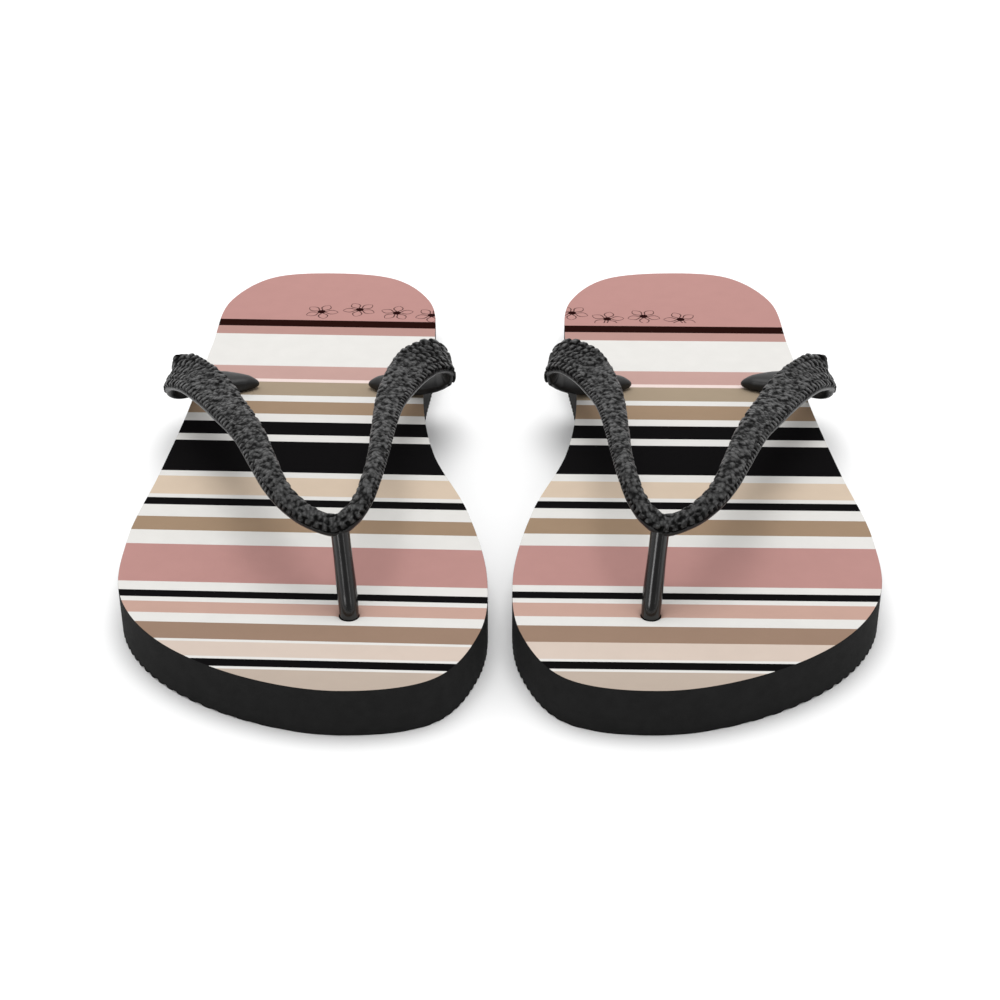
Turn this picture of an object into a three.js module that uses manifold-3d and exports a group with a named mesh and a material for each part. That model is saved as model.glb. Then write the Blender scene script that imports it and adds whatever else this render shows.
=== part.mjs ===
// A pair of flip flops, in millimetres, +Z up, toes towards -Y, standing on the plane z = 0.
// Each flip flop is a laminated sole (ribbed outsole, foam midsole, fabric topsheet) and a one-piece
// moulded strap, whose three shanks pass through the sole and end in discs sunk into its underside.
// The right one stands at -X. The left one is its mirror image in the plane x = 0.
import * as THREE from "three";
import { mergeVertices } from "three/addons/utils/BufferGeometryUtils.js";
import Module from "manifold-3d";

const wasm = await Module();
wasm.setup();

// Driving dimensions.
const OUTSOLE_THICKNESS = 4;
const MIDSOLE_THICKNESS = 9;
const TOPSHEET_THICKNESS = 1;
const RIB_PITCH = 2.7;
const RIB_HEIGHT = 1;
const CLEARANCE = 0.3;
const SHANK_RADIUS = { toe: 2.5, side: 3 };
const DISC_RADIUS = { toe: 9, side: 7 };
const DISC_BOTTOM = 1.4;

// Where the layers meet.
const MIDSOLE_BOTTOM = OUTSOLE_THICKNESS;
const TOPSHEET_BOTTOM = MIDSOLE_BOTTOM + MIDSOLE_THICKNESS;
const SOLE_TOP = TOPSHEET_BOTTOM + TOPSHEET_THICKNESS;

// The right sole's outline, anticlockwise from the heel, as the through points of a smooth closed curve.
const SOLE_OUTLINE = [
  [-62, 132.5],
  [-84, 128.5],
  [-97, 108],
  [-99, 70],
  [-100.3, 20],
  [-103, -22],
  [-106, -58],
  [-103, -88.5],
  [-90, -109.5],
  [-66, -126],
  [-40, -132.5],
  [-16.5, -127],
  [-5.5, -107],
  [-3.5, -80],
  [-9.5, -43.5],
  [-20.5, -8],
  [-25, 32],
  [-22.5, 76],
  [-25.5, 107],
  [-39, 127],
];
const OUTLINE_STEPS = 96;

// The three holes through the sole: [x, y].
const TOE_HOLE = [-40.2, -98];
const OUTER_HOLE = [-88, 36];
const INNER_HOLE = [-36.5, 35.8];
const HOLES = [
  { at: TOE_HOLE, kind: "toe" },
  { at: OUTER_HOLE, kind: "side" },
  { at: INNER_HOLE, kind: "side" },
];

// The strap's band, as stations along its middle line, from the toe end to the shank in the sole.
// at: the middle; across: the direction of the width; size: [width, thickness].
const OUTER_ARM = [
  { at: [-43.2, -88.8, 36.2], across: [0.2, 0.95, 0.2], size: [6.4, 5] },
  { at: [-49.6, -87.8, 37.6], across: [0.3, 0.93, 0.2], size: [6.2, 5] },
  { at: [-55.6, -82.4, 38.7], across: [0.6, 0.75, 0.25], size: [6.2, 4.8] },
  { at: [-61.2, -72.5, 39.3], across: [0.8, 0.55, 0.2], size: [6.8, 4.6] },
  { at: [-66.2, -58, 38.9], across: [0.93, 0.3, 0.18], size: [8, 4.2] },
  { at: [-72.3, -39.5, 37.4], across: [0.98, 0.15, 0.14], size: [9.2, 4] },
  { at: [-79, -23, 35.2], across: [0.97, 0.2, 0.1], size: [11.2, 4] },
  { at: [-86.1, -6, 32.6], across: [0.95, 0.28, 0.1], size: [13.2, 4] },
  { at: [-92.2, 6.6, 30.8], across: [0.87, 0.46, 0.15], size: [14.6, 4] },
  { at: [-97.6, 16.8, 28.2], across: [0.66, 0.7, 0.25], size: [15, 3.8] },
  { at: [-102.2, 25.6, 24.8], across: [0.34, 0.88, 0.25], size: [15.6, 4.4] },
  { at: [-104, 29.6, 21.8], across: [0.14, 0.97, 0.2], size: [14.8, 5] },
  { at: [-101.4, 33.8, 18.8], across: [0.06, 1, 0.1], size: [13.4, 5.2] },
  { at: [-96.3, 35.8, 17], across: [0, 1, 0], size: [11.4, 5] },
  { at: [-89.4, 36.2, 16.7], across: [0, 1, 0], size: [9.8, 4.8] },
  { at: [-82.8, 36.4, 16.3], across: [0, 1, 0], size: [5.8, 4.2] },
  { at: [-79, 36.8, 15.5], across: [0, 1, 0], size: [1.4, 1.8] },
];
const INNER_ARM = [
  { at: [-44, -89.2, 36.2], across: [0.5, -0.85, -0.1], size: [6.4, 5] },
  { at: [-39.8, -86.6, 37.4], across: [0.66, -0.72, -0.1], size: [5.8, 5] },
  { at: [-36.8, -79.5, 38.6], across: [0.91, -0.36, -0.2], size: [5.4, 4.8] },
  { at: [-35.1, -68.5, 39.2], across: [0.97, -0.1, -0.2], size: [5.4, 4.6] },
  { at: [-34.2, -55.5, 38.8], across: [0.98, 0, -0.18], size: [5.8, 4.2] },
  { at: [-33.7, -35.5, 37.2], across: [0.98, 0, -0.14], size: [7, 4] },
  { at: [-33, -16.5, 35.3], across: [0.97, -0.14, -0.11], size: [8.8, 4] },
  { at: [-31.1, -1.3, 33.4], across: [0.94, -0.3, -0.15], size: [11, 4] },
  { at: [-28.4, 12, 32], across: [0.87, -0.47, -0.16], size: [13.4, 4] },
  { at: [-24.4, 23.4, 30.6], across: [0.7, -0.68, -0.2], size: [15.8, 4] },
  { at: [-19.6, 30.6, 28], across: [0.4, -0.88, -0.25], size: [16.4, 3.8] },
  { at: [-17.8, 33.4, 24.2], across: [0.2, -0.95, -0.2], size: [16.4, 4] },
  { at: [-19.2, 34.6, 20.2], across: [0.1, -1, -0.1], size: [15, 4.2] },
  { at: [-24, 35.2, 17.2], across: [0, -1, 0], size: [12.6, 4.4] },
  { at: [-31, 35.6, 16.6], across: [0, -1, 0], size: [10.2, 4.6] },
  { at: [-39.4, 36, 16.3], across: [0, -1, 0], size: [6, 4.2] },
  { at: [-43.2, 36.4, 15.5], across: [0, -1, 0], size: [1.4, 1.8] },
];
const TOE_POST = [
  { at: [-42.6, -88.6, 36.4], across: [1, 0, 0], size: [5, 5] },
  { at: [-41.8, -91.4, 30], across: [1, 0, 0], size: [5, 5] },
  { at: [-40.7, -95.6, 20], across: [1, 0, 0], size: [5.4, 5.4] },
  { at: [-40.2, -97.8, 15], across: [1, 0, 0], size: [5.2, 5.2] },
  { at: [-40.2, -98, 13], across: [1, 0, 0], size: [4.8, 4.8] },
];

// ---- Solids -------------------------------------------------------------------------------------

// A closed geometry as a manifold-3d solid, with its shared vertices merged.
function solid(geometry) {
  const places = geometry.getAttribute("position").clone();
  const bare = new THREE.BufferGeometry().setAttribute("position", places);
  if (geometry.index) bare.setIndex(geometry.index.clone());
  const merged = mergeVertices(bare, 1e-4);
  const vertProperties = new Float32Array(merged.attributes.position.array);
  const triVerts = new Uint32Array(merged.index.array);
  return new wasm.Manifold(new wasm.Mesh({ numProp: 3, vertProperties, triVerts }));
}

// The geometry of a manifold-3d solid.
function geometryOf(manifold) {
  const mesh = manifold.getMesh();
  const positions = new THREE.BufferAttribute(mesh.vertProperties, 3);
  const geometry = new THREE.BufferGeometry().setAttribute("position", positions);
  geometry.setIndex(new THREE.BufferAttribute(mesh.triVerts, 1));
  geometry.computeVertexNormals();
  return geometry;
}

// ---- Sole ---------------------------------------------------------------------------------------

// The sole's outline with a round hole at each of the strap's shanks.
function soleShape(holeRadius) {
  const through = SOLE_OUTLINE.map(([x, y]) => new THREE.Vector3(x, y, 0));
  const curve = new THREE.CatmullRomCurve3(through, true, "centripetal");
  const points = curve.getSpacedPoints(OUTLINE_STEPS).slice(0, OUTLINE_STEPS);
  const shape = new THREE.Shape(points.map((p) => new THREE.Vector2(p.x, p.y)));
  for (const { at, kind } of HOLES) {
    const hole = new THREE.Path().absarc(at[0], at[1], holeRadius[kind] + CLEARANCE, 0, 2 * Math.PI, true);
    shape.holes.push(hole);
  }
  return shape;
}

// A layer of the sole, from bottom up.
function layer(holeRadius, bottom, thickness) {
  const options = { depth: thickness, bevelEnabled: false, curveSegments: 12 };
  return new THREE.ExtrudeGeometry(soleShape(holeRadius), options).translate(0, 0, bottom);
}

// A block whose underside is a row of ribs that run across the sole.
function ribbedBlock(top) {
  const profile = new THREE.Shape().moveTo(-150, top + 1);
  profile.lineTo(-150, RIB_HEIGHT);
  for (let y = -135; y < 135; y += RIB_PITCH) {
    profile.lineTo(y, RIB_HEIGHT);
    profile.lineTo(y + 0.2 * RIB_PITCH, 0);
    profile.lineTo(y + 0.6 * RIB_PITCH, 0);
    profile.lineTo(y + 0.8 * RIB_PITCH, RIB_HEIGHT);
  }
  profile.lineTo(150, RIB_HEIGHT);
  profile.lineTo(150, top + 1);
  const block = new THREE.ExtrudeGeometry(profile, { depth: 120, bevelEnabled: false });
  // The profile is drawn as (y, z) and extruded along x.
  const turn = new THREE.Matrix4().makeBasis(
    new THREE.Vector3(0, 1, 0),
    new THREE.Vector3(0, 0, 1),
    new THREE.Vector3(1, 0, 0),
  );
  return block.applyMatrix4(turn).translate(-115, 0, 0);
}

function outsole() {
  const slab = solid(layer(DISC_RADIUS, 0, OUTSOLE_THICKNESS));
  return geometryOf(slab.intersect(solid(ribbedBlock(OUTSOLE_THICKNESS))));
}

function midsole() {
  return layer(SHANK_RADIUS, MIDSOLE_BOTTOM, MIDSOLE_THICKNESS);
}

function topsheet() {
  return layer(SHANK_RADIUS, TOPSHEET_BOTTOM, TOPSHEET_THICKNESS);
}

// ---- Strap --------------------------------------------------------------------------------------

// A closed skin of rounded sections along a smooth line through the stations.
function skin(stations, steps, sides) {
  const vectors = (values) => new THREE.CatmullRomCurve3(values.map((v) => new THREE.Vector3(...v)));
  const middle = vectors(stations.map((s) => s.at));
  const across = vectors(stations.map((s) => s.across));
  const size = vectors(stations.map((s) => [...s.size, 0]));
  const squared = (c, power) => Math.sign(c) * Math.abs(c) ** power;
  const positions = [];
  for (let i = 0; i <= steps; i++) {
    const t = i / steps;
    const centre = middle.getPoint(t);
    const along = middle.getTangent(t);
    const wide = across.getPoint(t).projectOnPlane(along).normalize();
    const up = new THREE.Vector3().crossVectors(along, wide);
    const { x: width, y: thickness } = size.getPoint(t);
    const power = 0.6 + 0.4 * Math.min(1, thickness / width);
    for (let k = 0; k < sides; k++) {
      const angle = (2 * Math.PI * k) / sides;
      const point = centre.clone();
      point.addScaledVector(wide, (width / 2) * squared(Math.cos(angle), power));
      point.addScaledVector(up, (thickness / 2) * squared(Math.sin(angle), power));
      positions.push(...point.toArray());
    }
  }
  const ends = [middle.getPoint(0), middle.getPoint(1)];
  ends.forEach((p) => positions.push(...p.toArray()));
  const [first, last] = [(steps + 1) * sides, (steps + 1) * sides + 1];
  const index = [];
  for (let k = 0; k < sides; k++) {
    const next = (k + 1) % sides;
    index.push(first, next, k);
    index.push(last, steps * sides + k, steps * sides + next);
    for (let i = 0; i < steps; i++) {
      const [a, b] = [i * sides + k, i * sides + next];
      index.push(a, b, a + sides, b, b + sides, a + sides);
    }
  }
  const geometry = new THREE.BufferGeometry();
  geometry.setAttribute("position", new THREE.Float32BufferAttribute(positions, 3));
  return geometry.setIndex(index);
}

// A shank through the sole with the disc that holds it on the underside.
function plug({ at, kind }) {
  const [shank, disc] = [SHANK_RADIUS[kind], DISC_RADIUS[kind] - CLEARANCE];
  const profile = [
    [0, DISC_BOTTOM],
    [disc - 1, DISC_BOTTOM],
    [disc, DISC_BOTTOM + 1],
    [disc, MIDSOLE_BOTTOM - CLEARANCE],
    [shank, MIDSOLE_BOTTOM - CLEARANCE],
    [shank, SOLE_TOP + 2],
    [0, SOLE_TOP + 2],
  ];
  const turned = new THREE.LatheGeometry(profile.map((p) => new THREE.Vector2(...p)), 24);
  return turned.rotateX(Math.PI / 2).translate(at[0], at[1], 0);
}

function strap() {
  const parts = [skin(OUTER_ARM, 34, 12), skin(INNER_ARM, 34, 12), skin(TOE_POST, 8, 12)];
  parts.push(...HOLES.map(plug));
  return geometryOf(parts.map(solid).reduce((whole, part) => whole.add(part)));
}

// ---- The pair -----------------------------------------------------------------------------------

const RUBBER = { color: 0x262626, roughness: 0.85, metalness: 0 };
const FOAM = { color: 0x2b2b2b, roughness: 0.95, metalness: 0 };
const PRINTED_FABRIC = { color: 0xc49690, roughness: 0.9, metalness: 0 };
const STRAP_RUBBER = { color: 0x303030, roughness: 0.55, metalness: 0 };

function flipFlop(side) {
  const group = new THREE.Group();
  const add = (name, geometry, finish) => {
    const mesh = new THREE.Mesh(geometry, new THREE.MeshStandardMaterial(finish));
    mesh.name = `${side}_${name}`;
    group.add(mesh);
  };
  add("outsole", outsole(), RUBBER);
  add("midsole", midsole(), FOAM);
  add("topsheet", topsheet(), PRINTED_FABRIC);
  add("strap", strap(), STRAP_RUBBER);
  return group;
}

const right = flipFlop("right");
const left = flipFlop("left");
left.scale.x = -1;
const pair = new THREE.Group();
pair.add(right, left);

export default pair;
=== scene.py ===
import math

import bmesh
import bpy
import numpy as np
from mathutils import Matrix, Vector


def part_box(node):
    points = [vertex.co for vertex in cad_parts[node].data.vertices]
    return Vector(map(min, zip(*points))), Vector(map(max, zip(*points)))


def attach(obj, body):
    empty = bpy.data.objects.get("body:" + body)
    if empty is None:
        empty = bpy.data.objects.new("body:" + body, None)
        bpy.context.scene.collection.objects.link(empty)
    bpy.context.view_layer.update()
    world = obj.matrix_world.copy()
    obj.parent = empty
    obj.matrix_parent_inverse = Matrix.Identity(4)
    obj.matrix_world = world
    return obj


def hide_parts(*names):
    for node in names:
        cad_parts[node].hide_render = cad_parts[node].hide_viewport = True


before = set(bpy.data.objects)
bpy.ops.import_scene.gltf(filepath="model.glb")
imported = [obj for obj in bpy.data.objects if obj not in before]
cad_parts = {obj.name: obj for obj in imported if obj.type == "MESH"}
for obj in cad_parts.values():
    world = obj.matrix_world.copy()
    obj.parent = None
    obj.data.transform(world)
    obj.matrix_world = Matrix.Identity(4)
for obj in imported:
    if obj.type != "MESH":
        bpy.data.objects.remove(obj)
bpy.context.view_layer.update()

MM = 0.001
SIDES = {"right": 1, "left": -1}

# ---- The sole's measures, as in the CAD model -----------------------------------------------------

SOLE_OUTLINE = [
    (-62, 132.5),
    (-84, 128.5),
    (-97, 108),
    (-99, 70),
    (-100.3, 20),
    (-103, -22),
    (-106, -58),
    (-103, -88.5),
    (-90, -109.5),
    (-66, -126),
    (-40, -132.5),
    (-16.5, -127),
    (-5.5, -107),
    (-3.5, -80),
    (-9.5, -43.5),
    (-20.5, -8),
    (-25, 32),
    (-22.5, 76),
    (-25.5, 107),
    (-39, 127),
]
OUTLINE_POINTS = 480
HOLE_POINTS = 48
HOLES = [((-40.2, -98), "toe"), ((-88, 36), "side"), ((-36.5, 35.8), "side")]
SHANK_RADIUS = {"toe": 2.5, "side": 3}
DISC_RADIUS = {"toe": 9, "side": 7}
CLEARANCE = 0.3
OUTSOLE_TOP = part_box("right_outsole")[1][2] / MM
TOPSHEET_BOTTOM, SOLE_TOP = (corner[2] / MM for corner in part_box("right_topsheet"))
RIB_PITCH = 2.7
RIB_HEIGHT = 1.0
RIB_ROWS = (-135, 135)
RIB_FADE = (-136, -100)
RIB_LEAST = 0.15
RIB_BLOCK_X = (-120, 10)
RIB_BLOCK_Y = (-150, 150)
DISC_BOTTOM = 1.4
# Edges sharper than these angles, in degrees, stay crisp.
CREASE_ANGLE = 35
TREAD_CREASE_ANGLE = 40
BAND_CREASE_ANGLE = 60

# ---- The strap's stations, as in the CAD model: middle, across, width and thickness ----------------

OUTER_ARM = [
    ((-43.2, -88.8, 36.2), (0.2, 0.95, 0.2), (6.4, 5)),
    ((-49.6, -87.8, 37.6), (0.3, 0.93, 0.2), (6.2, 5)),
    ((-55.6, -82.4, 38.7), (0.6, 0.75, 0.25), (6.2, 4.8)),
    ((-61.2, -72.5, 39.3), (0.8, 0.55, 0.2), (6.8, 4.6)),
    ((-66.2, -58, 38.9), (0.93, 0.3, 0.18), (8, 4.2)),
    ((-72.3, -39.5, 37.4), (0.98, 0.15, 0.14), (9.2, 4)),
    ((-79, -23, 35.2), (0.97, 0.2, 0.1), (11.2, 4)),
    ((-86.1, -6, 32.6), (0.95, 0.28, 0.1), (13.2, 4)),
    ((-92.2, 6.6, 30.8), (0.87, 0.46, 0.15), (14.6, 4)),
    ((-97.6, 16.8, 28.2), (0.66, 0.7, 0.25), (15, 3.8)),
    ((-102.2, 25.6, 24.8), (0.34, 0.88, 0.25), (15.6, 4.4)),
    ((-104, 29.6, 21.8), (0.14, 0.97, 0.2), (14.8, 5)),
    ((-101.4, 33.8, 18.8), (0.06, 1, 0.1), (13.4, 5.2)),
    ((-96.3, 35.8, 17), (0, 1, 0), (11.4, 5)),
    ((-89.4, 36.2, 16.7), (0, 1, 0), (9.8, 4.8)),
    ((-82.8, 36.4, 16.3), (0, 1, 0), (5.8, 4.2)),
    ((-79, 36.8, 15.5), (0, 1, 0), (1.4, 1.8)),
]
INNER_ARM = [
    ((-39.8, -86.6, 37.4), (0.66, -0.72, -0.1), (5.8, 5)),
    ((-36.8, -79.5, 38.6), (0.91, -0.36, -0.2), (5.4, 4.8)),
    ((-35.1, -68.5, 39.2), (0.97, -0.1, -0.2), (5.4, 4.6)),
    ((-34.2, -55.5, 38.8), (0.98, 0, -0.18), (5.8, 4.2)),
    ((-33.7, -35.5, 37.2), (0.98, 0, -0.14), (7, 4)),
    ((-33, -16.5, 35.3), (0.97, -0.14, -0.11), (8.8, 4)),
    ((-31.1, -1.3, 33.4), (0.94, -0.3, -0.15), (11, 4)),
    ((-28.4, 12, 32), (0.87, -0.47, -0.16), (13.4, 4)),
    ((-24.4, 23.4, 30.6), (0.7, -0.68, -0.2), (15.8, 4)),
    ((-19.6, 30.6, 28), (0.4, -0.88, -0.25), (16.4, 3.8)),
    ((-17.8, 33.4, 24.2), (0.2, -0.95, -0.2), (16.4, 4)),
    ((-19.2, 34.6, 20.2), (0.1, -1, -0.1), (15, 4.2)),
    ((-24, 35.2, 17.2), (0, -1, 0), (12.6, 4.4)),
    ((-31, 35.6, 16.6), (0, -1, 0), (10.2, 4.6)),
    ((-39.4, 36, 16.3), (0, -1, 0), (6, 4.2)),
    ((-43.2, 36.4, 15.5), (0, -1, 0), (1.4, 1.8)),
]
TOE_POST = [
    ((-42.6, -88.6, 36.4), 5),
    ((-41.8, -91.4, 30), 5),
    ((-40.7, -95.6, 20), 5.4),
    ((-40.2, -97.8, 15), 5.2),
    ((-40.2, -98, 11), 4.8),
]
POST_STEPS = 60
POST_POINTS = 40
BAND_STEP = 0.25
BAND_CURVE_STEPS = 6000
BAND_TOP_POINTS = 46
BAND_UNDER_POINTS = 12
TIP_RADIUS = 1.2
RELIEF_ROWS = 5
EDGE_RIM = 0.05
# Between these widths the bars take over from the pebbles.
BARRED_WIDTHS = (14.2, 15.6)
PEBBLE_SIZE = (1.2, 1.1)
# The share of the full brightness, from the gaps' painted shade to the tops' painted highlight, that the
# smooth parts show.
SMOOTH_SHADE = 0.55
# The value about which the fine pits lighten and darken the band's colour: painted highlight on the
# pebbles, painted shade in the pits.
PIT_MIDDLE = 0.55

# ---- The print: stripes from toe to heel, as (lower y, colour); colours are sRGB, 0 to 255 ---------

WHITE_INK = (240, 238, 234)
BLACK_INK = (17, 16, 17)
PINK_INK = (197, 150, 144)
TAN_INK = (170, 145, 120)
STRIPES = [
    (-140, (200, 184, 170)),
    (-124.5, WHITE_INK),
    (-123.2, BLACK_INK),
    (-120.0, WHITE_INK),
    (-118.8, (225, 208, 195)),
    (-112.0, WHITE_INK),
    (-111.0, (163, 136, 117)),
    (-103.8, WHITE_INK),
    (-99.2, (208, 172, 158)),
    (-93.1, WHITE_INK),
    (-91.0, BLACK_INK),
    (-87.5, WHITE_INK),
    (-84.2, PINK_INK),
    (-63.8, WHITE_INK),
    (-56.8, TAN_INK),
    (-48.3, WHITE_INK),
    (-41.3, BLACK_INK),
    (-37.5, WHITE_INK),
    (-35.1, (226, 206, 184)),
    (-25.1, WHITE_INK),
    (-20.8, BLACK_INK),
    (-1.3, WHITE_INK),
    (2.5, BLACK_INK),
    (11.9, WHITE_INK),
    (16.5, TAN_INK),
    (25.9, WHITE_INK),
    (30.2, (175, 158, 136)),
    (39.5, (250, 230, 224)),
    (42.4, (205, 168, 160)),
    (52.3, WHITE_INK),
    (76.8, (193, 152, 144)),
    (83.8, (38, 13, 9)),
    (89.1, PINK_INK),
]
# How each shoe's fabric was laid: its slant, the x where the stripes' places hold, its shift towards
# the heel, and its shrink from the ball of the foot to the heel.
PRINT = {
    "right": {"slant": 0.040, "middle": -50, "shift": 0, "shrink": 1},
    "left": {"slant": 0.020, "middle": 50, "shift": -0.6, "shrink": 0.973},
}
PRINT_PIVOT = -60
PRINT_RANGE = (-140, 140)
INK_STRENGTH = 0.75
THREAD = 0.45
# Each flower's x, y and turn.
FLOWERS = {
    "right": [(-63.7, 97.6, 0.1), (-50.2, 99.4, 0.5), (-36.8, 96.5, -0.2), (-24.3, 94.5, 0.3)],
    "left": [(25.7, 96.5, 0.4), (38, 91.4, -0.1), (51, 93.6, 0.3), (63.9, 91, 0.6)],
}
FLOWER_INK = (40, 12, 12)
FLOWERS_FROM = 88
PETALS = 5
PETAL_START = 0.6
PETAL_END = 6
PETAL_HALF_ANGLE = 0.46
PETAL_LINE = 0.24
PETAL_LINE_STRENGTH = 0.8
FLOWER_EYE = 1.4

# ---- The studio, in metres and watts ----------------------------------------------------------------

CAMERA_PLACE = (0, -0.5132, 0.289)
CAMERA_TILT = 60
CAMERA_LENS = 67.18
CAMERA_SENSOR = 36
FLOOR_HALF = 3
# The sky's brightness for each axis: between which directions it changes, and from what to what.
SKY = {"Z": ((0, 0.6), (0.95, 1)), "Y": ((-0.9, 0.1), (0.3, 1.12))}


# ---- Curves -----------------------------------------------------------------------------------------


def centripetal(points, u, closed=False):
    """Points on a smooth curve through the given ones, for u from 0 to 1."""
    p = np.asarray(points, float)
    if closed:
        extended = np.vstack([p[-1:], p, p[:2]])
        segments = len(p)
    else:
        extended = np.vstack([2 * p[:1] - p[1:2], p, 2 * p[-1:] - p[-2:-1]])
        segments = len(p) - 1
    place = np.clip(np.asarray(u, float) * segments, 0, segments - 1e-9)
    i = place.astype(int)
    t = (place - i)[:, None]
    a, b, c, d = (extended[i + k] for k in range(4))
    gaps = (np.sum((q - r) ** 2, axis=1) ** 0.25 for q, r in ((b, a), (c, b), (d, c)))
    k0, k1, k2 = (np.maximum(gap, 1e-4)[:, None] for gap in gaps)
    start = k1 * ((b - a) / k0 - (c - a) / (k0 + k1) + (c - b) / k1)
    end = k1 * ((c - b) / k1 - (d - b) / (k1 + k2) + (d - c) / k2)
    return (
        b
        + start * t
        + (3 * (c - b) - 2 * start - end) * t**2
        + (2 * (b - c) + start + end) * t**3
    )


def unit(vectors):
    return vectors / np.linalg.norm(vectors, axis=-1, keepdims=True)


def outline(inset=0):
    """The right sole's outline, moved inwards by inset."""
    loop = centripetal(SOLE_OUTLINE, np.arange(OUTLINE_POINTS) / OUTLINE_POINTS, closed=True)
    along = unit(np.roll(loop, -1, axis=0) - np.roll(loop, 1, axis=0))
    inwards = np.column_stack([-along[:, 1], along[:, 0]])
    return loop + inset * inwards


def circle(centre, radius):
    angle = 2 * np.pi * np.arange(HOLE_POINTS) / HOLE_POINTS
    return np.column_stack([centre[0] + radius * np.cos(angle), centre[1] + radius * np.sin(angle)])


# ---- Meshes -----------------------------------------------------------------------------------------


def new_piece(name, vertices, faces, side, smooth_angle=CREASE_ANGLE):
    """A mesh object from millimetres on the right shoe; the left shoe's is mirrored."""
    points = np.array(vertices, float) * MM
    points[:, 0] *= SIDES[side]
    if SIDES[side] < 0:
        faces = [tuple(reversed(face)) for face in faces]
    mesh = bpy.data.meshes.new(name)
    mesh.from_pydata(points.tolist(), [], [tuple(int(v) for v in face) for face in faces])
    mesh.validate()
    mesh.shade_smooth()
    mesh.set_sharp_from_angle(angle=math.radians(smooth_angle))
    piece = bpy.data.objects.new(name, mesh)
    bpy.context.scene.collection.objects.link(piece)
    return piece


class Shell:
    """Gathers the rings and caps of a closed mesh."""

    def __init__(self):
        self.vertices = []
        self.faces = []

    def ring(self, loop, z):
        first = len(self.vertices)
        heights = np.broadcast_to(z, len(loop))
        self.vertices.extend((x, y, h) for (x, y), h in zip(loop, heights))
        return list(range(first, len(self.vertices)))

    def join(self, lower, upper, inwards=False):
        """A band of faces between two rings, facing out, or in for a hole."""
        count = len(lower)
        for k in range(count):
            n = (k + 1) % count
            face = (lower[k], lower[n], upper[n], upper[k])
            self.faces.append(face[::-1] if inwards else face)

    def cap(self, rings, up):
        """Fills the area inside the first ring and outside the others."""
        bm = bmesh.new()
        made = {}
        for ring in rings:
            verts = [bm.verts.new(self.vertices[i]) for i in ring]
            made.update(zip(verts, ring))
            for k, vert in enumerate(verts):
                bm.edges.new((vert, verts[(k + 1) % len(verts)]))
        bmesh.ops.triangle_fill(bm, use_beauty=True, use_dissolve=False, edges=bm.edges[:])
        for face in bm.faces:
            face.normal_update()
            corners = tuple(made[v] for v in face.verts)
            self.faces.append(corners if (face.normal.z > 0) == up else corners[::-1])
        bm.free()


def slab(name, side, profile, hole_radius, hole_profile):
    """A layer of the sole. profile is (inset, z) up its wall; hole_profile is (extra radius, z)."""
    shell = Shell()
    walls = [shell.ring(outline(inset), z) for inset, z in profile]
    for lower, upper in zip(walls, walls[1:]):
        shell.join(lower, upper)
    bottoms, tops = [walls[0]], [walls[-1]]
    for centre, kind in HOLES:
        radius = hole_radius[kind] + CLEARANCE
        rings = [shell.ring(circle(centre, radius + extra), z) for extra, z in hole_profile]
        for lower, upper in zip(rings, rings[1:]):
            shell.join(lower, upper, inwards=True)
        bottoms.append(rings[0])
        tops.append(rings[-1])
    shell.cap(bottoms, up=False)
    shell.cap(tops, up=True)
    return new_piece(name, shell.vertices, shell.faces, side)


def printed_sheet(side):
    """The fabric, with a softly rounded edge and a dimple pressed in around each shank."""
    bottom, top = TOPSHEET_BOTTOM, SOLE_TOP
    profile = [(0, bottom), (0, top - 0.12), (0.04, top - 0.03), (0.14, top)]
    dimple = [(0, bottom), (0, top - 0.35), (0.2, top - 0.25)]
    dimple += [(0.7, top - 0.1), (1.4, top - 0.02), (2, top)]
    return slab(f"{side}_printed_sheet", side, profile, SHANK_RADIUS, dimple)


def foam_midsole(side):
    heights = np.linspace(OUTSOLE_TOP, TOPSHEET_BOTTOM, 7)
    profile = [(0, z) for z in heights]
    return slab(f"{side}_foam_midsole", side, profile, SHANK_RADIUS, [(0, heights[0]), (0, heights[-1])])


def rib_profile():
    """One rib's (y, z), with rounded corners and hollows, starting in the valley before it."""
    places = np.array([0.02, 0.1, 0.16, 0.24, 0.34, 0.46, 0.56, 0.64, 0.7, 0.78])
    heights = np.array([0.97, 0.8, 0.3, 0.04, 0, 0, 0.04, 0.3, 0.8, 0.97])
    return places * RIB_PITCH, heights * RIB_HEIGHT


def rib_block(side):
    """A block, longer and wider than the sole, whose underside is a row of ribs."""
    places, heights = rib_profile()
    starts = np.arange(*RIB_ROWS, RIB_PITCH)
    front, back = RIB_BLOCK_Y
    ys = np.concatenate([[front]] + [start + places for start in starts] + [[back]])
    zs = np.concatenate([[RIB_HEIGHT]] + [heights for _ in starts] + [[RIB_HEIGHT]])
    zs = zs * np.clip((ys - RIB_FADE[0]) / (RIB_FADE[1] - RIB_FADE[0]), RIB_LEAST, 1)
    vertices, faces = [], []
    for x in RIB_BLOCK_X:
        vertices.extend((x, y, z) for y, z in zip(ys, zs))
        vertices.extend((x, y, OUTSOLE_TOP + 1) for y in ys)
    count = len(ys)
    far, last = 2 * count, count - 1
    for k in range(last):
        low, high = (k, k + 1), (k + count, k + count + 1)
        faces.append((low[0], low[1], low[1] + far, low[0] + far))
        faces.append((high[0], high[0] + far, high[1] + far, high[1]))
        faces.append((low[1], low[0], high[0], high[1]))
        faces.append((low[0] + far, low[1] + far, high[1] + far, high[0] + far))
    faces.append((0, far, far + count, count))
    faces.append((last, last + count, last + count + far, last + far))
    return new_piece("ribs", vertices, [face[::-1] for face in faces], side)


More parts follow.
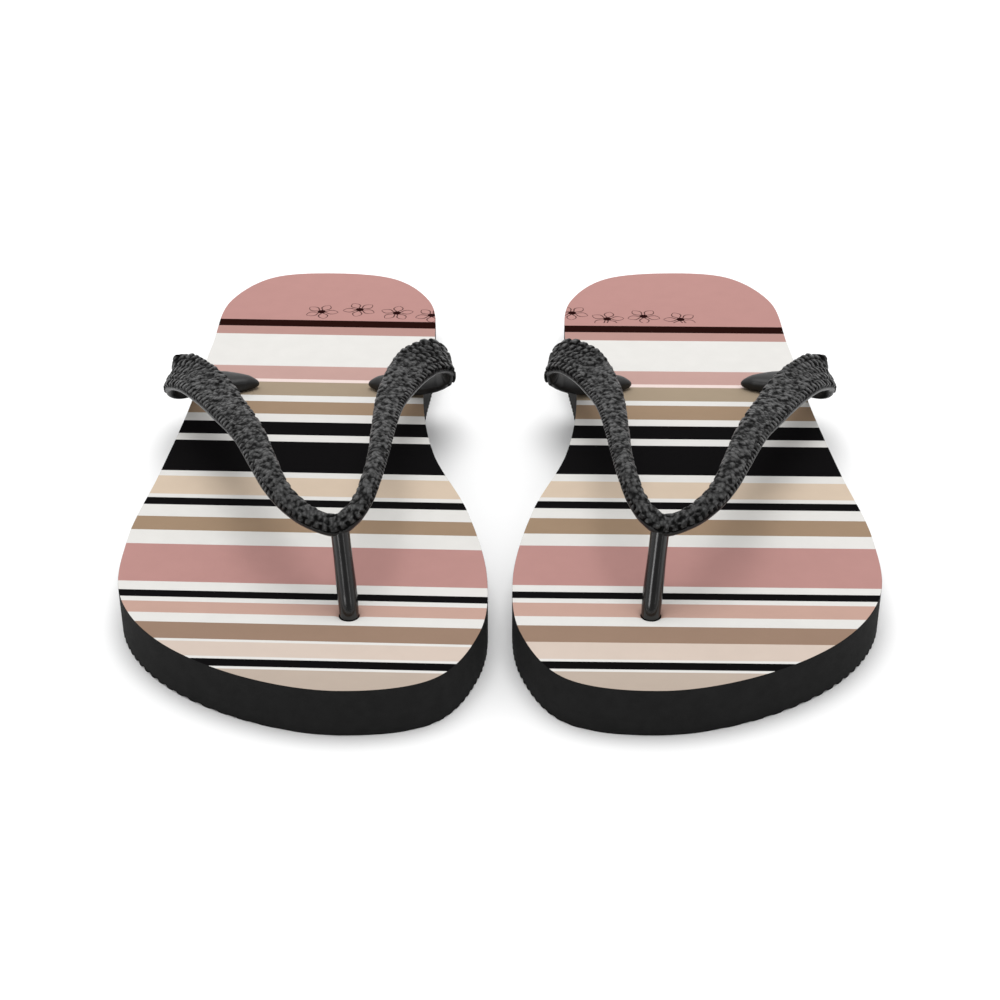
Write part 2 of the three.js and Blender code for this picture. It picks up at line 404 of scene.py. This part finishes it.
def tread_outsole(side):
    """The outsole: a plain slab cut by the block of ribs."""
    wall = [(0, 0), (0, OUTSOLE_TOP)]
    plain = slab("plain", side, wall, DISC_RADIUS, wall)
    block = rib_block(side)
    for mesh in (plain.data, block.data):
        outwards(mesh)
    cut = plain.modifiers.new("tread", "BOOLEAN")
    cut.operation = "INTERSECT"
    cut.solver = "EXACT"
    cut.object = block
    evaluated = plain.evaluated_get(bpy.context.evaluated_depsgraph_get())
    mesh = bpy.data.meshes.new_from_object(evaluated)
    for leftover in (plain, block):
        bpy.data.objects.remove(leftover)
    mesh.shade_smooth()
    mesh.set_sharp_from_angle(angle=math.radians(TREAD_CREASE_ANGLE))
    piece = bpy.data.objects.new(f"{side}_tread_outsole", mesh)
    bpy.context.scene.collection.objects.link(piece)
    return piece


def outwards(mesh):
    """Turns every face of a closed mesh to face out."""
    bm = bmesh.new()
    bm.from_mesh(mesh)
    bmesh.ops.recalc_face_normals(bm, faces=bm.faces[:])
    bm.to_mesh(mesh)
    bm.free()


def tube_faces(first, rings, points):
    """The faces of a tube of rings whose points start at vertex first, with flat ends."""
    faces = []
    for i in range(rings - 1):
        low = first + i * points
        for k in range(points):
            n = (k + 1) % points
            faces.append((low + k, low + n, low + points + n, low + points + k))
    last = first + (rings - 1) * points
    faces.append(tuple(first + k for k in range(points))[::-1])
    faces.append(tuple(last + k for k in range(points)))
    return faces


# ---- The strap --------------------------------------------------------------------------------------


def band_sections():
    """Middle, direction, across, width and thickness at even steps from the outer tip to the inner."""
    flipped = [(at, tuple(-a for a in across), size) for at, across, size in reversed(OUTER_ARM)]
    stations = flipped + INNER_ARM
    ats, acrosses, sizes = ([station[k] for station in stations] for k in range(3))
    fine = np.linspace(0, 1, BAND_CURVE_STEPS)
    lengths = np.linalg.norm(np.diff(centripetal(ats, fine), axis=0), axis=1)
    travelled = np.concatenate([[0], np.cumsum(lengths)])
    steps = int(travelled[-1] / BAND_STEP)
    u = np.interp(np.linspace(0, travelled[-1], steps + 1), travelled, fine)
    middle = centripetal(ats, u)
    along = unit(np.gradient(middle, axis=0))
    across = centripetal(acrosses, u)
    across = unit(across - along * np.sum(across * along, axis=1, keepdims=True))
    width, thickness = centripetal(sizes, u).T
    return middle, along, across, width, thickness


def smooth_step(low, high, value):
    t = np.clip((value - low) / (high - low), 0, 1)
    return t * t * (3 - 2 * t)


def chance(*numbers):
    """A value from 0 to 1 that looks random but is fixed by the numbers."""
    mixed = sum(number * factor for number, factor in zip(numbers, (12.9898, 78.233)))
    return np.modf(np.abs(np.sin(mixed)) * 43758.5453)[0]


def patches(u, v):
    """Smooth values from 0 to 1 that change at random from one cell of a unit lattice to the next."""
    column, row = np.floor(u), np.floor(v)
    over, along = smooth_step(0, 1, u - column), smooth_step(0, 1, v - row)
    near = chance(column, row) * (1 - over) + chance(column + 1, row) * over
    far = chance(column, row + 1) * (1 - over) + chance(column + 1, row + 1) * over
    return near * (1 - along) + far * along


def bars(phase, place, rows):
    """Short raised bars lying across the band, in rows that are offset like bricks."""
    row = np.clip(np.floor(place), 0, rows - 1)
    slanted = phase + 0.5 * row + 0.12 * (place - row)
    bar = np.floor(slanted)
    along, over = slanted - bar, place - row
    raised = smooth_step(0, 0.2, along) * (1 - smooth_step(0.62, 0.82, along))
    raised = raised * smooth_step(0, 0.18, over) * (1 - smooth_step(0.82, 1, over))
    return raised * (0.6 + 0.4 * chance(bar, row))


def relief_and_painted_light(half, width, distance):
    """The woven look, from 0 in the gaps to 1 on the raised parts. It gives the relief's height, and also
    the band's painted shade in the gaps and painted highlight on the raised tops.

    half runs from 0 at the band's outer edge to 1 at its inner edge. Bars line the outer edge, and cover
    the wide ends; between them the surface is pebbled.
    """
    wide = smooth_step(*BARRED_WIDTHS, width)[:, None]
    phase = np.cumsum(BAND_STEP / (1.2 + 0.12 * width))[:, None]
    within = (half - EDGE_RIM) / (1 - 2 * EDGE_RIM)
    brick = bars(phase, np.clip(within, 0, 1) * RELIEF_ROWS, RELIEF_ROWS)
    across = half * (width[:, None] + 3)
    along = 0.55 * distance[:, None]
    pebble = patches((along + 0.7 * across) / PEBBLE_SIZE[0], (along - 0.9 * across) / PEBBLE_SIZE[1])
    pebble = smooth_step(0.3, 0.62, pebble)
    edge_row = 1 - smooth_step(0.16, 0.2, within)
    barred = np.maximum(wide, edge_row)
    mixed = barred * brick + (1 - barred) * (0.3 + 0.5 * pebble)
    return mixed * smooth_step(0, 0.03, within) * (1 - smooth_step(0.97, 1, within))


def bulged(value, power):
    """A sine or cosine raised to a power with its sign kept, which squares off a round section."""
    return np.sign(value) * np.abs(value) ** power


def section_shape(up, width, thickness):
    """Each point's place in its section, sideways and upwards, from -1 to 1."""
    top = np.linspace(0, math.pi, BAND_TOP_POINTS, endpoint=False)
    under = np.linspace(math.pi, 2 * math.pi, BAND_UNDER_POINTS, endpoint=False)
    angle = np.concatenate([top, under])[None, :]
    power = (0.6 + 0.4 * np.minimum(1, thickness / width))[:, None]
    on_sole = (1 - smooth_step(-0.95, -0.6, up[:, 2]))[:, None]
    flatness = np.where(np.sin(angle) > 0, power * (1 - 0.6 * on_sole), power)
    return bulged(np.cos(angle), power), bulged(np.sin(angle), flatness)


def place_over_top(sideways, upwards):
    """How far along the top half's edge each point is, from 0 to 1."""
    steps_over = np.diff(sideways, axis=1, prepend=sideways[:, :1])
    steps_up = np.diff(upwards, axis=1, prepend=upwards[:, :1])
    travelled = np.cumsum(np.hypot(steps_over, steps_up), axis=1)
    whole = travelled[:, BAND_TOP_POINTS : BAND_TOP_POINTS + 1]
    return np.clip(travelled / np.maximum(whole, 1e-6), 0, 1)


def texture_share(half, up):
    """1 where the band has its relief, 0 on its underside and where it has turned under the sole's edge."""
    on_top = (np.arange(half.shape[1]) <= BAND_TOP_POINTS)[None, :]
    share = on_top * smooth_step(-0.5, -0.15, up[:, 2])[:, None]
    return share * smooth_step(0, 0.04, half) * (1 - smooth_step(0.96, 1, half))


def pushed_out(surface, middle, up, height):
    """The surface moved out, square to itself, by height at each point."""
    normal = unit(
        np.cross(np.gradient(surface, axis=1), np.gradient(surface, axis=0)) + 1e-9 * up[:, None]
    )
    outward = np.sign(np.sum(normal * (surface - middle[:, None]), axis=-1, keepdims=True))
    return surface + normal * outward * height[..., None]


def band_faces(rings, points):
    """Faces between the rings, and fans to the two end points that follow the rings' own."""
    index = np.arange(rings * points).reshape(rings, points)
    following = np.roll(index, -1, axis=1)
    quads = np.stack([index[:-1], following[:-1], following[1:], index[1:]], axis=-1).reshape(-1, 4)
    faces = [tuple(face) for face in quads.tolist()]
    first, last = rings * points, rings * points + 1
    faces += [(first, following[0, k], index[0, k]) for k in range(points)]
    faces += [(last, index[-1, k], following[-1, k]) for k in range(points)]
    return faces


def strap_band(side):
    """Both arms and tails in one sweep, with the woven relief on the outer face of the arms."""
    middle, along, across, width, thickness = band_sections()
    up = np.cross(across, along)
    distance = np.arange(len(middle)) * BAND_STEP
    to_tip = np.minimum(distance, distance[-1] - distance)
    tip = np.sqrt(1 - (1 - np.clip(to_tip / TIP_RADIUS, 0, 1)) ** 2)
    sideways, upwards = section_shape(up, width, thickness)
    sideways = sideways * (width * tip / 2)[:, None]
    upwards = upwards * (thickness * tip / 2)[:, None]
    surface = middle[:, None] + sideways[..., None] * across[:, None] + upwards[..., None] * up[:, None]

    half = place_over_top(sideways, upwards)
    textured = texture_share(half, up)
    raised = relief_and_painted_light(half, width, distance)
    height = (0.4 + 0.03 * width)[:, None] * (raised - 0.45) * textured
    surface = pushed_out(surface, middle, up, height * tip[:, None])
    # Painted light for the band's colour: painted shade in the gaps between bars and pebbles, a painted
    # highlight on their raised tops; the smooth parts get SMOOTH_SHADE.
    painted_shade_and_highlight = raised * textured + SMOOTH_SHADE * (1 - textured)

    vertices = np.vstack([surface.reshape(-1, 3), middle[:1], middle[-1:]])
    faces = band_faces(*surface.shape[:2])
    piece = new_piece(f"{side}_strap_band", vertices, faces, side, BAND_CREASE_ANGLE)
    # The first attribute carries the painted shade and painted highlight into the band's colour.
    for name, values in (("relief_and_painted_light", painted_shade_and_highlight), ("textured", textured)):
        attribute = piece.data.attributes.new(name, "FLOAT", "POINT")
        attribute.data.foreach_set("value", np.append(values.ravel(), [0, 0]).astype(np.float32))
    return piece


def toe_post(side):
    """The smooth round post, from inside the band down into its hole."""
    u = np.linspace(0, 1, POST_STEPS + 1)
    middle = centripetal([at for at, _ in TOE_POST], u)
    radius = centripetal([(d / 2,) for _, d in TOE_POST], u)[:, 0]
    along = unit(np.gradient(middle, axis=0))
    sideways = unit(np.cross(along, [0, 1, 0]))
    forwards = np.cross(sideways, along)
    angle = 2 * np.pi * np.arange(POST_POINTS) / POST_POINTS
    cosine, sine = np.cos(angle)[None, :, None], np.sin(angle)[None, :, None]
    swing = cosine * sideways[:, None] + sine * forwards[:, None]
    surface = middle[:, None] + radius[:, None, None] * swing
    faces = tube_faces(0, POST_STEPS + 1, POST_POINTS)
    piece = new_piece(f"{side}_toe_post", surface.reshape(-1, 3), faces, side)
    outwards(piece.data)
    return piece


def strap_plugs(side):
    """The three shanks with the discs that hold them under the sole."""
    vertices, faces = [], []
    for centre, kind in HOLES:
        disc = DISC_RADIUS[kind] - CLEARANCE
        shank = SHANK_RADIUS[kind] - 0.1
        top = OUTSOLE_TOP - CLEARANCE
        profile = [
            (0.8, DISC_BOTTOM + 0.5),
            (1.6, DISC_BOTTOM + 0.45),
            (2.0, DISC_BOTTOM + 0.1),
            (2.4, DISC_BOTTOM),
            (disc - 1.6, DISC_BOTTOM),
            (disc - 1.2, DISC_BOTTOM + 0.25),
            (disc - 1.0, DISC_BOTTOM + 0.25),
            (disc - 0.6, DISC_BOTTOM),
            (disc - 0.2, DISC_BOTTOM + 0.15),
            (disc, DISC_BOTTOM + 0.5),
            (disc, top - 0.3),
            (disc - 0.3, top),
            (shank + 0.6, top),
            (shank, top + 0.6),
            (shank, SOLE_TOP - 1.2),
        ]
        faces += tube_faces(len(vertices), len(profile), HOLE_POINTS)
        for radius, z in profile:
            vertices.extend((x, y, z) for x, y in circle(centre, radius))
    piece = new_piece(f"{side}_strap_plugs", vertices, faces, side)
    outwards(piece.data)
    return piece


# ---- Materials --------------------------------------------------------------------------------------


class Nodes:
    """A short way to write a material's nodes."""

    def __init__(self, name):
        self.material = bpy.data.materials.new(name)
        self.material.use_nodes = True
        self.tree = self.material.node_tree
        self.shader = self.tree.nodes["Principled BSDF"]

    def add(self, kind, inputs=None, **settings):
        node = self.tree.nodes.new(kind)
        for key, value in settings.items():
            setattr(node, key, value)
        for key, value in (inputs or {}).items():
            self.feed(node.inputs[key], value)
        return node

    def feed(self, socket, value):
        if isinstance(value, bpy.types.NodeSocket):
            self.tree.links.new(value, socket)
        else:
            socket.default_value = value

    def math(self, operation, *values):
        node = self.add("ShaderNodeMath", operation=operation)
        for socket, value in zip(node.inputs, values):
            self.feed(socket, value)
        return node.outputs[0]

    def blend(self, factor, first, second, mode="MIX"):
        node = self.add("ShaderNodeMix", data_type="RGBA", blend_type=mode)
        self.feed(node.inputs["Factor"], factor)
        self.feed(node.inputs["A"], first)
        self.feed(node.inputs["B"], second)
        return node.outputs["Result"]

    def place(self):
        return self.add("ShaderNodeTexCoord").outputs["Object"]

    def noise(self, size, detail=3, roughness=0.5):
        """Noise whose features are about size millimetres across."""
        inputs = {"Vector": self.place(), "Scale": 1 / (size * MM)}
        inputs.update({"Detail": detail, "Roughness": roughness})
        return self.add("ShaderNodeTexNoise", inputs).outputs["Fac"]

    def spread(self, value, low, high):
        return self.add("ShaderNodeMapRange", {"Value": value, "To Min": low, "To Max": high}).outputs[0]

    def bump(self, height, depth, strength=1):
        """A bump of about depth millimetres."""
        node = self.add("ShaderNodeBump", {"Height": height, "Distance": depth * MM, "Strength": strength})
        self.feed(self.shader.inputs["Normal"], node.outputs[0])


def linear(colour):
    """A linear colour with alpha, from sRGB values from 0 to 255."""
    parts = (c / 255 for c in colour)
    return tuple(p / 12.92 if p <= 0.04045 else ((p + 0.055) / 1.055) ** 2.4 for p in parts) + (1,)


def dyed(colour):
    """The ink's own colour: how it looks under this light, less the light's strength."""
    return tuple(c * INK_STRENGTH for c in linear(colour)[:3]) + (1,)


def stripes(n, side):
    laid = PRINT[side]
    x, y, _ = n.add("ShaderNodeSeparateXYZ", {"Vector": n.place()}).outputs
    slanted = n.math("MULTIPLY_ADD", x, laid["slant"], y)
    across = n.math("SUBTRACT", slanted, laid["slant"] * laid["middle"] * MM)
    low, high = PRINT_RANGE
    factor = n.add(
        "ShaderNodeMapRange", {"Value": across, "From Min": low * MM, "From Max": high * MM}
    ).outputs[0]
    colour = None
    half = len(STRIPES) // 2
    for group in (STRIPES[:half], STRIPES[half:]):
        ramp = n.add("ShaderNodeValToRGB", {"Fac": factor})
        ramp.color_ramp.interpolation = "CONSTANT"
        places = []
        for start, ink in group:
            if start > PRINT_PIVOT:
                start = PRINT_PIVOT + laid["shrink"] * (start - PRINT_PIVOT)
            places.append(((start + laid["shift"] - low) / (high - low), dyed(ink)))
        elements = ramp.color_ramp.elements
        elements[0].position, elements[0].color = places[0]
        elements[1].position, elements[1].color = places[-1]
        for position, ink in places[1:-1]:
            elements.new(position).color = ink
        if colour is None:
            colour = ramp.outputs["Color"]
        else:
            colour = n.blend(n.math("GREATER_THAN", factor, places[0][0]), colour, ramp.outputs["Color"])
    return colour


def flower(n, x, y, centre_x, centre_y, turn):
    """How dark a plain flower of leaf-shaped petals is: thin lines round a solid eye, 0 elsewhere."""
    dx = n.math("SUBTRACT", x, centre_x * MM)
    dy = n.math("SUBTRACT", y, centre_y * MM)
    radius = n.math("SQRT", n.math("ADD", n.math("MULTIPLY", dx, dx), n.math("MULTIPLY", dy, dy)))
    angle = n.math("ADD", n.math("ARCTAN2", dy, dx), 2 * math.pi + turn)
    off_axis = n.math("PINGPONG", angle, math.pi / PETALS)
    length = (PETAL_END - PETAL_START) * MM
    reach = n.math("DIVIDE", n.math("SUBTRACT", radius, PETAL_START * MM), length)
    inside = n.math("MULTIPLY", n.math("GREATER_THAN", reach, 0), n.math("LESS_THAN", reach, 1))
    bulge = n.math("SINE", n.math("MULTIPLY", reach, math.pi))
    half_width = n.math("MULTIPLY", bulge, PETAL_HALF_ANGLE)
    gap = n.math("MULTIPLY", n.math("ABSOLUTE", n.math("SUBTRACT", off_axis, half_width)), radius)
    line = n.math("MULTIPLY", n.math("LESS_THAN", gap, PETAL_LINE * MM), inside)
    eye = n.math("LESS_THAN", radius, FLOWER_EYE * MM)
    return n.math("MAXIMUM", n.math("MULTIPLY", line, PETAL_LINE_STRENGTH), eye)


def fabric(side):
    n = Nodes(f"{side}_printed_fabric")
    x, y, _ = n.add("ShaderNodeSeparateXYZ", {"Vector": n.place()}).outputs
    colour = stripes(n, side)
    lines = None
    for spot in FLOWERS[side]:
        one = flower(n, x, y, *spot)
        lines = one if lines is None else n.math("MAXIMUM", lines, one)
    on_heel = n.math("GREATER_THAN", y, FLOWERS_FROM * MM)
    colour = n.blend(n.math("MULTIPLY", lines, on_heel), colour, dyed(FLOWER_INK))
    mottle = n.spread(n.noise(6, detail=5), 0.95, 1.03)
    grey = n.add("ShaderNodeCombineColor", dict.fromkeys(("Red", "Green", "Blue"), mottle)).outputs[0]
    colour = n.blend(1.0, colour, grey, "MULTIPLY")
    n.feed(n.shader.inputs["Base Color"], colour)
    warp = n.math("SINE", n.math("MULTIPLY", x, 2 * math.pi / (THREAD * MM)))
    weft = n.math("SINE", n.math("MULTIPLY", y, 2 * math.pi / (THREAD * MM)))
    weave = n.math("MULTIPLY", warp, weft)
    n.bump(n.math("ADD", n.math("MULTIPLY", weave, 0.5), n.noise(0.8)), 0.06, 0.5)
    n.shader.inputs["Roughness"].default_value = 0.85
    n.shader.inputs["Specular IOR Level"].default_value = 0.01
    return n.material


def dark_rubber(name, colour, roughness, grain, depth, gloss):
    """Moulded rubber or foam; its grain's size and depth are in millimetres."""
    n = Nodes(name)
    darker, lighter = (linear([c * share for c in colour]) for share in (0.85, 1.15))
    tint = n.blend(n.noise(3.5, detail=4), darker, lighter)
    n.feed(n.shader.inputs["Base Color"], tint)
    n.feed(n.shader.inputs["Roughness"], n.spread(n.noise(grain * 3), roughness - 0.07, roughness + 0.07))
    n.shader.inputs["Specular IOR Level"].default_value = gloss
    n.bump(n.noise(grain, detail=4, roughness=0.65), depth)
    return n.material


def woven_rubber():
    """The band: glossy on the raised parts, with finer pebbles over its outer face. Its colour is dark in
    the gaps and pits and light on the raised tops, as painted shade and painted highlight, and the same
    painted shade dims the gloss in the gaps.
    """
    n = Nodes("woven_rubber")
    raised = n.add("ShaderNodeAttribute", attribute_name="relief_and_painted_light").outputs["Fac"]
    textured = n.add("ShaderNodeAttribute", attribute_name="textured").outputs["Fac"]
    stretched = n.add("ShaderNodeMapping", {"Vector": n.place(), "Scale": (1, 0.6, 1)}).outputs[0]
    grains = n.add("ShaderNodeTexVoronoi", {"Vector": stretched, "Scale": 1 / (1.1 * MM)}, feature="F1")
    pit = n.spread(grains.outputs["Distance"], 1.1, -0.5)
    # Painted shade at the edges of the fine pebbles, painted highlight at their middles.
    painted_pit_shade = n.math("MULTIPLY", n.math("SUBTRACT", pit, PIT_MIDDLE), n.math("MULTIPLY", textured, 0.9))
    painted_light = n.math("ADD", raised, painted_pit_shade)
    painted_light = n.add("ShaderNodeClamp", {"Value": painted_light}).outputs[0]
    # Painted light: painted shade in the gaps and pits, painted highlight on the raised tops, between these
    # two greys.
    n.feed(n.shader.inputs["Base Color"], n.blend(painted_light, linear((5, 5, 5)), linear((36, 36, 36))))
    # The same painted shade dims the gloss in the gaps.
    n.feed(n.shader.inputs["Specular IOR Level"], n.spread(painted_light, 0.04, 0.5))
    n.feed(n.shader.inputs["Roughness"], n.spread(n.noise(1.5), 0.3, 0.46))
    pebbles = n.math("MULTIPLY", pit, textured)
    n.bump(n.math("MULTIPLY_ADD", n.noise(0.35, detail=4, roughness=0.65), 0.15, pebbles), 0.35)
    return n.material


# ---- Assembly ---------------------------------------------------------------------------------------


def dress(piece, material, slot, body, *nodes):
    piece.data.materials.clear()
    piece.data.materials.append(material)
    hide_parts(*nodes)
    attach(piece, body)


def flip_flop(side, finishes):
    body = f"{side}_flip_flop"
    strap = f"{side}_strap"
    sheet = printed_sheet(side)
    dress(sheet, fabric(side), "topsheet", body, f"{side}_topsheet")
    sheet.data.materials.append(finishes["foam"])
    for face in sheet.data.polygons:
        face.material_index = 0 if face.normal.z > 0.5 else 1
    midsole = foam_midsole(side)
    dress(midsole, finishes["foam"], "midsole", body, f"{side}_midsole")
    dress(tread_outsole(side), finishes["tread"], "outsole", body, f"{side}_outsole")
    dress(strap_band(side), finishes["woven"], "strap", body, strap)
    dress(toe_post(side), finishes["post"], "strap", body, strap)
    dress(strap_plugs(side), finishes["plug"], "strap", body, strap)


def white_floor():
    mesh = bpy.data.meshes.new("floor")
    corners = [(x * FLOOR_HALF, y * FLOOR_HALF, 0) for x, y in ((-1, -1), (1, -1), (1, 1), (-1, 1))]
    mesh.from_pydata(corners, [], [(0, 1, 2, 3)])
    floor = bpy.data.objects.new("floor", mesh)
    bpy.context.scene.collection.objects.link(floor)
    n = Nodes("floor")
    n.shader.inputs["Base Color"].default_value = (0.95, 0.95, 0.95, 1)
    n.shader.inputs["Roughness"].default_value = 0.9
    n.shader.inputs["Specular IOR Level"].default_value = 0
    mesh.materials.append(n.material)


def softbox(name, location, size, power, only_reflected=False):
    light = bpy.data.lights.new(name, "AREA")
    light.shape = "RECTANGLE"
    light.size, light.size_y = size
    light.energy = power
    lamp = bpy.data.objects.new(name, light)
    lamp.location = location
    lamp.visible_diffuse = not only_reflected
    towards = -lamp.location
    lamp.rotation_euler = towards.to_track_quat("-Z", "Y").to_euler()
    bpy.context.scene.collection.objects.link(lamp)


def sky(world):
    """White all round, but dimmer on the viewer's side."""
    tree = world.node_tree
    direction = tree.nodes.new("ShaderNodeTexCoord")
    parts = tree.nodes.new("ShaderNodeSeparateXYZ")
    tree.links.new(direction.outputs["Generated"], parts.inputs[0])
    both = tree.nodes.new("ShaderNodeMath")
    both.operation = "MULTIPLY"
    for socket, (axis, (directions, strengths)) in zip(both.inputs, SKY.items()):
        ramp = tree.nodes.new("ShaderNodeMapRange")
        ramp.inputs["From Min"].default_value, ramp.inputs["From Max"].default_value = directions
        ramp.inputs["To Min"].default_value, ramp.inputs["To Max"].default_value = strengths
        tree.links.new(parts.outputs[axis], ramp.inputs["Value"])
        tree.links.new(ramp.outputs[0], socket)
    background = tree.nodes["Background"]
    background.inputs["Color"].default_value = (1, 1, 1, 1)
    tree.links.new(both.outputs[0], background.inputs["Strength"])


def studio():
    world = bpy.data.worlds.new("studio")
    world.use_nodes = True
    sky(world)
    bpy.context.scene.world = world
    bpy.context.scene.view_settings.view_transform = "Standard"
    softbox("overhead", (0, 0.1, 1.4), (0.9, 0.9), 10)
    softbox("left strip", (-0.45, -0.75, 0.6), (0.3, 0.9), 4.2, only_reflected=True)
    softbox("right strip", (0.5, -0.75, 0.6), (0.12, 0.9), 0.8, only_reflected=True)


def photo_camera():
    """The photograph's viewpoint: 30 degrees above the horizon, on the pair's middle line."""
    camera = bpy.data.cameras.new("camera")
    camera.sensor_width = CAMERA_SENSOR
    camera.lens = CAMERA_LENS
    eye = bpy.data.objects.new("camera", camera)
    eye.location = CAMERA_PLACE
    eye.rotation_euler = (math.radians(CAMERA_TILT), 0, 0)
    bpy.context.scene.collection.objects.link(eye)
    bpy.context.scene.camera = eye


photo_camera()
studio()
white_floor()
FINISHES = {
    "foam": dark_rubber("foam", (33, 33, 33), roughness=0.85, grain=0.5, depth=0.12, gloss=0.06),
    "tread": dark_rubber("tread", (33, 33, 33), roughness=0.8, grain=0.6, depth=0.08, gloss=0.06),
    "post": dark_rubber("post", (7, 7, 7), roughness=0.2, grain=3, depth=0.01, gloss=0.6),
    "plug": dark_rubber("plug", (24, 24, 24), roughness=0.5, grain=0.6, depth=0.04, gloss=0.2),
    "woven": woven_rubber(),
}
for each_side in SIDES:
    flip_flop(each_side, FINISHES)
